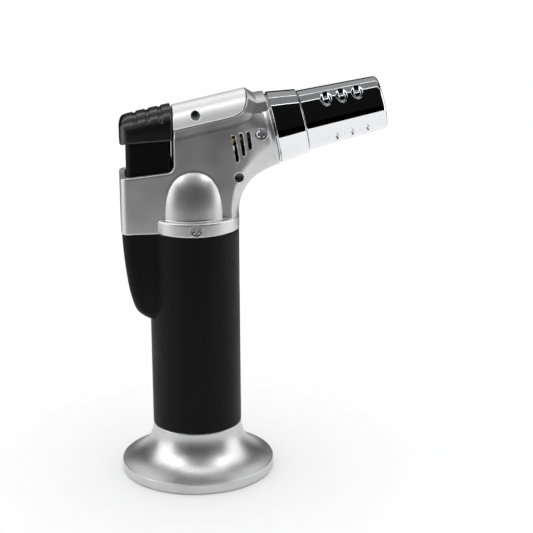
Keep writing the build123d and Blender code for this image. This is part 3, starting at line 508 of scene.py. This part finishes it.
def cap_field(x, y, z, s):
    """Thumb cap: a side outline under an arch that starts at a shoulder, with round rear corners, grooves
    that run down from the top, and room for the skirt."""
    side = outline_distance(x, z, CAP_SIDE)
    shoulder, ridge = (height + slope * (x - start) for start, height, slope in (CAP_SHOULDER, CAP_RIDGE))
    top = np.minimum(ridge, CAP_RIDGE_TOP)
    rise = np.maximum(z - shoulder, 0) / np.maximum(top + 0.6 - shoulder, 1)
    f = both(side, (power_sum(y / s.cover_half, rise, CAP_POWER) - 1) * 8.5, 0.7)
    f = np.maximum(f, both(CAP_REAR - x, np.abs(y) - s.cover_half, CAP_CORNER))
    for gx, gz in GROOVES:
        across = np.abs(x - gx - GROOVE_LEAN * (gz - z)) - s.groove_half
        cut = np.maximum(both(across, GROOVE_END - z, 0.5), -(f + s.groove_depth))
        f = both(f, -cut, 0.22)
    skirt = both(np.abs(x - SKIRT_X) - SKIRT_HALF[0], np.abs(y) - SKIRT_HALF[1], SKIRT_CORNER)
    return np.maximum(f, -np.maximum(skirt, z - CAP_ROOM_Z))


class TORCH_OT_head(bpy.types.Operator):
    """Cast head: slab, neck, ring and dome, with its well, air slots and screw wells"""

    bl_idname = "torch.head"
    bl_label = "Head"

    def execute(self, context):
        s = sizes()
        box = (REAR_X, -GRIP_R, HEAD_Z0), (33, GRIP_R, 153)
        piece = field_mesh("head_casting", lambda x, y, z: head_field(x, y, z, s), *box, s.head_cell)
        dress(piece, "head_shell")
        return {"FINISHED"}


class TORCH_OT_cover(bpy.types.Operator):
    """Half-barrel cover on top of the head"""

    bl_idname = "torch.cover"
    bl_label = "Cover"

    def execute(self, context):
        s = sizes()
        box = (WELL_X, -s.cover_half, 136), (23, s.cover_half, 153)
        piece = field_mesh("cover_skin", lambda x, y, z: cover_field(x, y, z, s), *box, s.cover_cell)
        dress(piece, "top_cover")
        return {"FINISHED"}


class TORCH_OT_cap(bpy.types.Operator):
    """Thumb cap of the trigger"""

    bl_idname = "torch.cap"
    bl_label = "Thumb cap"

    def execute(self, context):
        s = sizes()
        box = (-27.6, -s.cover_half, 132.3), (-7.9, s.cover_half, 146.8)
        piece = field_mesh("cap_skin", lambda x, y, z: cap_field(x, y, z, s), *box, s.cap_cell)
        dress(piece, "thumb_cap", "trigger")
        return {"FINISHED"}


# ---------------------------------------------------------------- foot, grip and nozzle
# back of the rib as radius and height, and its half width as it narrows downwards
RIB_LINE = curve([(13.0, 61.0), (16.0, 62.2), (18.6, 63.7), (21.4, 66.0), (23.4, 69.2), (25.2, 75.6),
                  (26.2, 81.8), (26.9, 88.0), (27.4, 94.2), (27.6, HEAD_Z0)])
RIB_TAPER = np.array([(61.5, 3.7), (64.5, 6.6), (67.5, 8.7), (70.5, 9.8), (75.0, 10.4), (80.0, 10.6)])
BORE_R = 15.3            # bore of the grip and of the foot's neck
RECESS_R, RECESS_Z = 27.5, 2.6   # recess under the foot that its closing plate fills


class TORCH_OT_foot(bpy.types.Operator):
    """Foot, turned: an upright rim, a crease and a hollow flare that rises to the grip"""

    bl_idname = "torch.foot"
    bl_label = "Foot"

    def execute(self, context):
        s = sizes()
        top, hollow = GRIP_Z0 - 0.3, s.foot_hollow
        middle = GRIP_R + hollow
        end = atan2(s.foot_rim - top, -np.sqrt(hollow ** 2 - (s.foot_rim - top) ** 2))
        t = np.linspace(-pi, end, 48)[1:-2]
        flare = np.stack([middle + hollow * np.cos(t), top + hollow * np.sin(t)], 1)
        neck = rounded([(BORE_R, top, 0), (GRIP_R - 0.1, top, 0.12), (GRIP_R, top - 0.3, 0)])
        rim = rounded([tuple(flare[-1]) + (0,), (FOOT_R, s.foot_rim, 0.45), (FOOT_R, 0.3, 0.45),
                       (RECESS_R, 0.3, 0.1), (RECESS_R, RECESS_Z, 0.3), (22, 5.2, 0.5), (BORE_R, 8.8, 0.3),
                       (BORE_R, 15.0, 0)])[1:]
        dress(skin("foot_skin", turned(np.vstack([neck, flare, rim]), 192)), "base")
        return {"FINISHED"}


def grip_radius(a, h, s):
    """Radius of the grip at an angle and height: the round sleeve or, where that is further out, the rib,
    a bar with flat sides and round corners whose back follows its side-view curve and which narrows
    towards its lower end."""
    back = np.interp(h, RIB_LINE[:, 1], RIB_LINE[:, 0])
    ca, sa = np.cos(a), np.abs(np.sin(a))
    half = np.interp(h, RIB_TAPER[:, 0], RIB_TAPER[:, 1] * s.rib_half / RIB_TAPER[-1, 1])
    cx, cy = s.rib_corner - back, half - s.rib_corner
    toward = cx * ca + cy * sa
    arc = toward + np.sqrt(np.maximum(toward ** 2 - cx * cx - cy * cy + s.rib_corner ** 2, 0))
    side = half / np.maximum(sa, 1e-6)
    rear = back / np.maximum(-ca, 1e-6)
    bar = np.where(side * ca > cx, side, np.where(rear * sa < cy, rear, arc))
    return np.maximum(GRIP_R, np.where(ca < 0, bar, 0))


POCKET_X, POCKET_HALF, POCKET_Z0 = 24.8, 4.5, 82.0   # pocket for the igniter: reach back, half width, floor
END_STEPS = np.array([0, 0.05, 0.18, 0.4])           # heights and insets of the sleeve's rounded ends
END_INSETS = [0.4, 0.2, 0.06, 0]


class TORCH_OT_grip(bpy.types.Operator):
    """Soft grip sleeve with its rib, a radius that depends on angle and height, and the flat-sided pocket
    inside the rib that the igniter stands in"""

    bl_idname = "torch.grip"
    bl_label = "Grip"

    def execute(self, context):
        s = sizes()
        crease = np.arcsin(s.rib_half / GRIP_R)
        angle = np.concatenate([np.linspace(crease - pi, pi - crease, 90, endpoint=False),
                                np.linspace(pi - crease, pi + crease, 72, endpoint=False)])
        height = np.concatenate([GRIP_Z0 + END_STEPS, np.linspace(21, 57, 20),
                                 np.linspace(57.6, HEAD_Z0 - 0.8, 80), HEAD_Z0 - END_STEPS[::-1]])
        inset = np.interp(np.minimum(height - GRIP_Z0, HEAD_Z0 - height), END_STEPS, END_INSETS)
        a, h = np.meshgrid(angle, height)
        r = grip_radius(a, h, s) - inset[:, None]
        rows = np.stack([r * np.cos(a), r * np.sin(a), h], -1)
        a, h = np.meshgrid(angle, [HEAD_Z0, POCKET_Z0, POCKET_Z0, GRIP_Z0])
        flat = np.minimum(POCKET_X / np.maximum(-np.cos(a), 0.01),
                          POCKET_HALF / np.maximum(np.abs(np.sin(a)), 0.01))
        inside = (np.cos(a) < 0) & (h >= POCKET_Z0) & (np.arange(4)[:, None] < 2)
        r = np.where(inside, np.maximum(flat, BORE_R), BORE_R)
        bore = np.stack([r * np.cos(a), r * np.sin(a), h], -1)
        dress(skin("grip_skin", np.concatenate([rows, bore])), "grip_sleeve")
        return {"FINISHED"}


TUBE_START, TUBE_END = 12.25, 43.2
TUBE_R0, TUBE_R1 = 11.4, 10.0
LIP = 1.3
COLLAR_BORE, COLLAR_END = 10.2, 12.0
DIMPLES_ALONG = (22.0, 28.0, 34.0)
DIMPLE_ROWS = 4
DIMPLE_R = 10.6          # radius of the tube where the dimples are


def along_nozzle(co):
    """Puts a turned grid on the nozzle axis: its height runs along the axis, its x across and its y up."""
    x, z = on_axis(co[..., 2], co[..., 1])
    return np.stack([x, co[..., 0], z], -1)


def dimple_depth(a, h, s):
    """Depth of the dimples, in four rows round the tube: an ellipse that is flat in the middle and rises
    to its rim as one less the square of the distance."""
    depth = np.zeros(np.broadcast(a, h).shape)
    for along in DIMPLES_ALONG:
        for k in range(DIMPLE_ROWS):
            round_tube = np.angle(np.exp(1j * (a - pi / 4 - k * pi / 2))) * DIMPLE_R
            reach = np.sqrt((round_tube / s.dimple_around) ** 2 + ((h - along) / s.dimple_along) ** 2)
            depth += np.clip((1 - reach ** 2) * 1.6, 0, 1) * s.dimple_depth
    return depth


class TORCH_OT_nozzle(bpy.types.Operator):
    """Chrome collar and dimpled nozzle tube, turned about the nozzle axis"""

    bl_idname = "torch.nozzle"
    bl_label = "Nozzle"

    def execute(self, context):
        s = sizes()
        collar = rounded([(COLLAR_BORE, 6.0, 0), (COLLAR_BORE, 0.35, 0.1), (12.9, 0.35, 0.2),
                          (13.0, 0.85, 0.1), (s.neck_end, 1.0, 0.4), (12.1, COLLAR_END, 0.4),
                          (COLLAR_BORE, COLLAR_END, 0.1), (COLLAR_BORE, 6.0, 0)])[:-1]
        dress(skin("collar_skin", along_nozzle(turned(collar, 160))), "nozzle_collar")
        h = np.linspace(TUBE_START + 0.3, TUBE_END - LIP, 118)
        wall = np.stack([TUBE_R0 + (TUBE_R1 - TUBE_R0) * (h - TUBE_START) / (TUBE_END - TUBE_START), h], 1)
        t = np.linspace(0, pi / 2, 9)[1:]
        mouth = np.stack([TUBE_R1 - LIP + LIP * np.cos(t), TUBE_END - LIP + LIP * np.sin(t)], 1)
        start = [(9.9, TUBE_START), (TUBE_R0 - 0.3, TUBE_START), (TUBE_R0 - 0.08, TUBE_START + 0.08)]
        outside = turned(np.vstack([start, wall, mouth]), 256, lambda a, h: dimple_depth(a, h, s))
        bore = turned(np.array([(8.6, TUBE_END - 0.15), (8.52, TUBE_END - 0.5), (8.7, 34), (9.3, 22),
                                (9.8, 14)]), 256)
        dress(skin("nozzle_skin", along_nozzle(np.concatenate([outside, bore]))), "nozzle_tube")
        return {"FINISHED"}


# ---------------------------------------------------------------- cross-head screws in the casting
SCREW_RISE = 0.85        # height of a screw's domed head
CROSS_REACH = 0.72       # share of the head's radius that the recess reaches


class TORCH_OT_screws(bpy.types.Operator):
    """Domed screws of the neck and the ring: a low dome with a cross recess on a plain shank"""

    bl_idname = "torch.screws"
    bl_label = "Screws"

    def execute(self, context):
        s = sizes()
        for node in ("neck_screws", "ring_screws"):
            mesh = frame["nodes"][node].data
            co = np.empty(len(mesh.vertices) * 3, np.float32)
            mesh.vertices.foreach_get("co", co)
            co = co.reshape(-1, 3) / MM
            mx, mz = (co[:, 0].min() + co[:, 0].max()) / 2, (co[:, 2].min() + co[:, 2].max()) / 2
            head = (co[:, 0].max() - co[:, 0].min()) / 2
            outer, inner = np.abs(co[:, 1]).max(), np.abs(co[:, 1]).min()
            shank = head * 0.5
            r = np.concatenate([[shank * 0.6, shank, shank, head - 0.1, head],
                                np.linspace(head - 0.04, 0.05, 40)])
            a, r = np.meshgrid(np.linspace(0, 2 * pi, 144, endpoint=False), r)
            dome = outer - SCREW_RISE * (r / head) ** 2.4
            near = np.minimum(np.abs(np.cos(a)), np.abs(np.sin(a))) * r
            far = np.maximum(np.abs(np.cos(a)), np.abs(np.sin(a))) * r
            across = np.clip((s.recess_half + 0.1 - near) / 0.12, 0, 1)
            cross = across * np.clip((head * CROSS_REACH - far) / 0.2, 0, 1)
            h = dome - s.recess_depth * cross
            under = outer - SCREW_RISE - 0.1
            h[:5] = np.array([inner, inner + 0.5, outer - 1.5, outer - 1.5, under])[:, None]
            pair = [np.stack([mx + side * r * np.cos(a), side * h, mz + r * np.sin(a)], -1)
                    for side in (-1, 1)]
            dress(skin(node + "_skin", *pair, tube=False), node)
        return {"FINISHED"}


# ---------------------------------------------------------------- finishes
# slot: colour or its property, metallic, least and most roughness, grain per metre, bump height in metres,
# specular level, and how far the tone strays from the colour
FINISHES = {
    "satin_casting": ("casting", 0.94, 0.31, 0.38, 2600, 0.000012, 0.5, 0.13),
    "cover_metal": ("cover", 0.55, 0.34, 0.40, 2600, 0.000008, 0.5, 0.04),
    "bright_chrome": ("chrome", 1.0, 0.03, 0.06, 300, 0.0000006, 0.5, 0.01),
    "soft_grip": ("grip", 0.0, 0.42, 0.52, 3200, 0.000012, 0.1, 0.15),
    "trigger_plastic": ("trigger", 0.0, 0.24, 0.34, 2400, 0.000006, 0.8, 0.15),
    "black_plastic": ((0.0022, 0.0022, 0.0025), 0.0, 0.3, 0.4, 2400, 0.000006, 0.12, 0.15),
    "foot_rubber": ((0.02, 0.02, 0.021), 0.0, 0.7, 0.85, 1800, 0.00004, 0.3, 0.18),
    "zinc_steel": ("steel", 1.0, 0.2, 0.32, 1500, 0.000006, 0.5, 0.08),
    "spring_steel": ((0.5, 0.5, 0.52), 1.0, 0.22, 0.34, 1800, 0.000004, 0.5, 0.08),
    "burner_steel": ((0.42, 0.38, 0.34), 1.0, 0.3, 0.46, 900, 0.000008, 0.5, 0.2),
    "brass": ("brass", 1.0, 0.2, 0.34, 1400, 0.000005, 0.5, 0.08),
    "tank_plastic": ("tank", 0.0, 0.4, 0.5, 1500, 0.000005, 0.5, 0.03),
    "dial_plastic": ((0.05, 0.05, 0.055), 0.0, 0.36, 0.48, 1800, 0.000008, 0.5, 0.12),
    "plunger_plastic": ((0.7, 0.68, 0.62), 0.0, 0.26, 0.36, 1500, 0.000004, 0.5, 0.04),
    "piezo_plastic": ((0.03, 0.03, 0.033), 0.0, 0.26, 0.36, 1500, 0.000005, 0.5, 0.15),
    "tube_plastic": ((0.74, 0.7, 0.58), 0.0, 0.25, 0.36, 1200, 0.000003, 0.5, 0.05),
    "wire_jacket": ((0.55, 0.03, 0.02), 0.0, 0.3, 0.42, 1500, 0.000005, 0.5, 0.1),
    "seal_rubber": ((0.012, 0.012, 0.012), 0.0, 0.35, 0.46, 1200, 0.000005, 0.5, 0.12),
    "felt": ((0.6, 0.57, 0.5), 0.0, 0.9, 1.0, 1500, 0.00015, 0.2, 0.12),
    "white_ceramic": ((0.82, 0.81, 0.77), 0.0, 0.45, 0.6, 1400, 0.00001, 0.5, 0.03),
}


def finish(slot, colours):
    """Node material of one slot, in the place of the plain one of that name that comes with the frame. Fine
    noise on Object coordinates gives the grain's bump; a slower noise moves the roughness between its
    limits and the tone a little either side of the colour."""
    base, metal, least, most, per_metre, height, specular, stray = FINISHES[slot]
    base = np.array(getattr(colours, base) if isinstance(base, str) else base)
    if slot in bpy.data.materials:
        bpy.data.materials.remove(bpy.data.materials[slot])
    m = bpy.data.materials.new(slot)
    m.use_nodes = True
    add, link = m.node_tree.nodes.new, m.node_tree.links.new
    shader = m.node_tree.nodes["Principled BSDF"]
    shader.inputs["Metallic"].default_value = metal
    shader.inputs["Specular IOR Level"].default_value = specular
    where = add("ShaderNodeTexCoord").outputs["Object"]

    def noise(scale, detail):
        n = add("ShaderNodeTexNoise")
        n.inputs["Scale"].default_value = scale
        n.inputs["Detail"].default_value = detail
        link(where, n.inputs["Vector"])
        return n.outputs["Fac"]

    fine, slow = noise(per_metre, 2.0), noise(per_metre * 0.03, 4.0)
    bump = add("ShaderNodeBump")
    bump.inputs["Strength"].default_value = 1.0
    bump.inputs["Distance"].default_value = height
    link(fine, bump.inputs["Height"])
    link(bump.outputs["Normal"], shader.inputs["Normal"])
    rough = add("ShaderNodeMapRange")
    for name, value in (("From Min", 0.3), ("From Max", 0.7), ("To Min", least), ("To Max", most)):
        rough.inputs[name].default_value = value
    link(slow, rough.inputs["Value"])
    link(rough.outputs["Result"], shader.inputs["Roughness"])
    mixed = add("ShaderNodeMath")
    mixed.operation = "MULTIPLY_ADD"
    mixed.inputs[1].default_value = 0.5
    link(fine, mixed.inputs[0])
    half = add("ShaderNodeMath")
    half.operation = "MULTIPLY"
    half.inputs[1].default_value = 0.5
    link(slow, half.inputs[0])
    link(half.outputs["Value"], mixed.inputs[2])
    tone = add("ShaderNodeValToRGB")
    for element, at, share in zip(tone.color_ramp.elements, (0.35, 0.65), (1 - stray, 1 + stray)):
        element.position = at
        element.color = (*np.clip(base * share, 0, 1), 1)
    link(mixed.outputs["Value"], tone.inputs["Fac"])
    link(tone.outputs["Color"], shader.inputs["Base Color"])
    return m


class TORCH_OT_finishes(bpy.types.Operator):
    """Makes every finish and puts it on the CAD nodes that keep their own mesh"""

    bl_idname = "torch.finishes"
    bl_label = "Finishes and inner parts"

    def execute(self, context):
        made = {slot: finish(slot, context.scene.torch_colours) for slot in FINISHES}
        for name, part in frame["nodes"].items():
            if not part.data.materials:
                part.data.materials.append(None)
            for place in part.material_slots:
                place.material = made[SLOT_OF[name]]
        return {"FINISHED"}


# ---------------------------------------------------------------- studio
CAMERA_AT = (0.5735, 3.3, 0.2508)
CAMERA_TURN = (6.08, 16.38, -0.32)
LENS = 104.24


def softbox(name, at, toward, size, radiance, shows=("glossy",), spared=None):
    """Rectangular lamp of a given radiance: its power is radiance times pi times its area. It lights only
    the kinds of ray that shows names and not the pieces in spared, and the camera doesn't see it."""
    lamp = bpy.data.lights.new(name, "AREA")
    lamp.shape = "RECTANGLE"
    lamp.size, lamp.size_y = size
    lamp.energy = radiance * pi * size[0] * size[1]
    box = bpy.data.objects.new(name, lamp)
    box.location = at
    box.rotation_euler = (Vector(toward) - Vector(at)).to_track_quat("-Z", "Y").to_euler()
    box.visible_camera = False
    box.visible_diffuse = "diffuse" in shows
    box.visible_glossy = "glossy" in shows
    if spared:
        box.light_linking.receiver_collection = spared
    bpy.context.scene.collection.objects.link(box)


def flag(name, corner, u, v, radiance=0.0):
    """Flat card that only reflections see: black, or glowing with a given radiance. Its corners are the
    first corner plus one, both or neither of its two sides."""
    corner, u, v = np.array(corner), np.array(u), np.array(v)
    corners = np.array([corner, corner + u, corner + u + v, corner + v]) / MM
    card = add_mesh(name, corners, [np.array([[0, 1, 2, 3]])])
    m = bpy.data.materials.new(name)
    m.use_nodes = True
    m.node_tree.nodes.clear()
    glow = m.node_tree.nodes.new("ShaderNodeEmission")
    glow.inputs["Strength"].default_value = radiance
    out = m.node_tree.nodes.new("ShaderNodeOutputMaterial")
    m.node_tree.links.new(glow.outputs["Emission"], out.inputs["Surface"])
    card.data.materials.append(m)
    card.visible_camera = card.visible_diffuse = card.visible_shadow = card.visible_transmission = False


class TORCH_OT_stage(bpy.types.Operator):
    """White floor and sky, softboxes, dark flags in front and behind, and the camera"""

    bl_idname = "torch.stage"
    bl_label = "Studio"

    def execute(self, context):
        scene, light = context.scene, context.scene.torch_studio
        side = np.linspace(-3000, 3000, 3)
        x, y = np.meshgrid(side, side, indexing="ij")
        i, j = np.meshgrid(np.arange(2), np.arange(2), indexing="ij")
        quads = np.stack([i * 3 + j, (i + 1) * 3 + j, (i + 1) * 3 + j + 1, i * 3 + j + 1], -1).reshape(-1, 4)
        floor = add_mesh("studio_floor", np.stack([x, y, np.full_like(x, -0.02)], -1).reshape(-1, 3), [quads])
        white = bpy.data.materials.new("studio_white")
        white.use_nodes = True
        shader = white.node_tree.nodes["Principled BSDF"]
        shader.inputs["Base Color"].default_value = (*scene.torch_colours.floor, 1)
        shader.inputs["Roughness"].default_value = 0.7
        shader.inputs["Specular IOR Level"].default_value = 0.1
        floor.data.materials.append(white)

        world = bpy.data.worlds.new("studio")
        scene.world = world
        world.use_nodes = True
        world.cycles.sampling_method = "NONE"
        sky = world.node_tree.nodes["Background"]
        ray = world.node_tree.nodes.new("ShaderNodeLightPath")
        level = world.node_tree.nodes.new("ShaderNodeMapRange")
        level.inputs["To Min"].default_value = light.sky
        level.inputs["To Max"].default_value = light.dusk
        sky.inputs["Color"].default_value = (1, 1, 1, 1)
        world.node_tree.links.new(ray.outputs["Is Glossy Ray"], level.inputs["Value"])
        world.node_tree.links.new(level.outputs["Result"], sky.inputs["Strength"])

        spared = bpy.data.collections.new("spared")
        for name in ("collar_skin", "nozzle_skin", "studio_floor"):
            spared.objects.link(bpy.data.objects[name])
        for place in spared.collection_objects:
            place.light_linking.link_state = "EXCLUDE"
        aim = (0.01, 0, 0.1)
        softbox("left_box", (-0.62, -0.05, 0.32), aim, (0.55, 0.6), light.left)
        softbox("right_box", (0.66, -0.02, 0.3), aim, (0.5, 0.6), light.right)
        softbox("top_box", (0.02, -0.04, 0.85), aim, (0.7, 0.42), light.top, spared=spared)
        softbox("crown_box", (0.0, -0.36, 0.6), aim, (0.8, 0.4), light.crown, spared=spared)
        softbox("left_high", (-0.5, -0.28, 0.72), aim, (0.4, 0.36), light.high, spared=spared)
        softbox("right_high", (0.52, -0.28, 0.72), aim, (0.4, 0.36), light.high, spared=spared)
        softbox("back_box", (0.0, 0.55, 0.75), aim, (1.2, 0.6), light.behind, spared=spared)
        softbox("key", (-0.25, -0.4, 0.7), aim, (0.5, 0.4), light.key, ("diffuse",), spared)
        for way, name in ((-1, "front"), (1, "back")):
            flag(name + "_flag", (-3, way * 0.3, 0.0005), (6, 0, 0), (0, way * 2.7, 0))
        near, far, high = -0.093, 0.336, 0.8
        for name, y in (("near_strip", near), ("far_strip", far)):
            flag(name, (-0.3, y, high), (0.8, 0, 0), (0, 0.018, 0), light.strip)
        flag("screen", (-0.3, near + 0.018, high), (0.8, 0, 0), (0, far - near - 0.018, 0), light.screen)
        flag("back_screen", (-0.6, far + 0.02, high), (1.2, 0, 0), (0, 1.2, 0), light.screen * 1.5)

        distance, azimuth, height = CAMERA_AT
        yaw, pitch, roll = (radians(t) for t in CAMERA_TURN)
        view = Vector((sin(yaw) * cos(pitch), cos(yaw) * cos(pitch), -sin(pitch)))
        right = Vector((cos(yaw), -sin(yaw), 0))
        up = right.cross(view)
        right, up = right * cos(roll) + up * sin(roll), up * cos(roll) - right * sin(roll)
        lens = bpy.data.cameras.new("camera")
        lens.sensor_width = 36
        lens.lens = LENS
        camera = bpy.data.objects.new("camera", lens)
        place = (-distance * sin(radians(azimuth)), -distance * cos(radians(azimuth)), height)
        camera.matrix_world = Matrix.Translation(place) @ Matrix((right, up, -view)).transposed().to_4x4()
        scene.collection.objects.link(camera)
        scene.camera = camera
        scene.view_settings.view_transform = "Standard"
        return {"FINISHED"}


# ---------------------------------------------------------------- panel and registration
STEPS = (TORCH_OT_finishes, TORCH_OT_head, TORCH_OT_cover, TORCH_OT_cap, TORCH_OT_foot, TORCH_OT_grip,
         TORCH_OT_nozzle, TORCH_OT_screws, TORCH_OT_stage)


class TORCH_PT_panel(bpy.types.Panel):
    """Sizes, colours and steps of the torch"""

    bl_idname = "TORCH_PT_panel"
    bl_label = "Torch"
    bl_space_type = "VIEW_3D"
    bl_region_type = "UI"
    bl_category = "Torch"

    def draw(self, context):
        scene = context.scene
        for group in (scene.torch_sizes, scene.torch_colours, scene.torch_studio):
            box = self.layout.box()
            for name in type(group).__annotations__:
                box.prop(group, name)
        for step in STEPS:
            self.layout.operator(step.bl_idname)


GROUPS = {"torch_sizes": TorchSizes, "torch_colours": TorchColours, "torch_studio": TorchStudio}


def register():
    """Registers the classes and hangs the property groups on the scene."""
    for cls in (*GROUPS.values(), *STEPS, TORCH_PT_panel):
        bpy.utils.register_class(cls)
    for name, cls in GROUPS.items():
        setattr(bpy.types.Scene, name, bpy.props.PointerProperty(type=cls))


def unregister():
    """Takes back what register did."""
    for name in GROUPS:
        delattr(bpy.types.Scene, name)
    for cls in (TORCH_PT_panel, *reversed(STEPS), *reversed(list(GROUPS.values()))):
        bpy.utils.unregister_class(cls)


def main():
    """Builds every piece and the studio."""
    register()
    for step in STEPS:
        getattr(bpy.ops.torch, step.bl_idname.split(".")[1])()


if __name__ == "__main__":
    main()
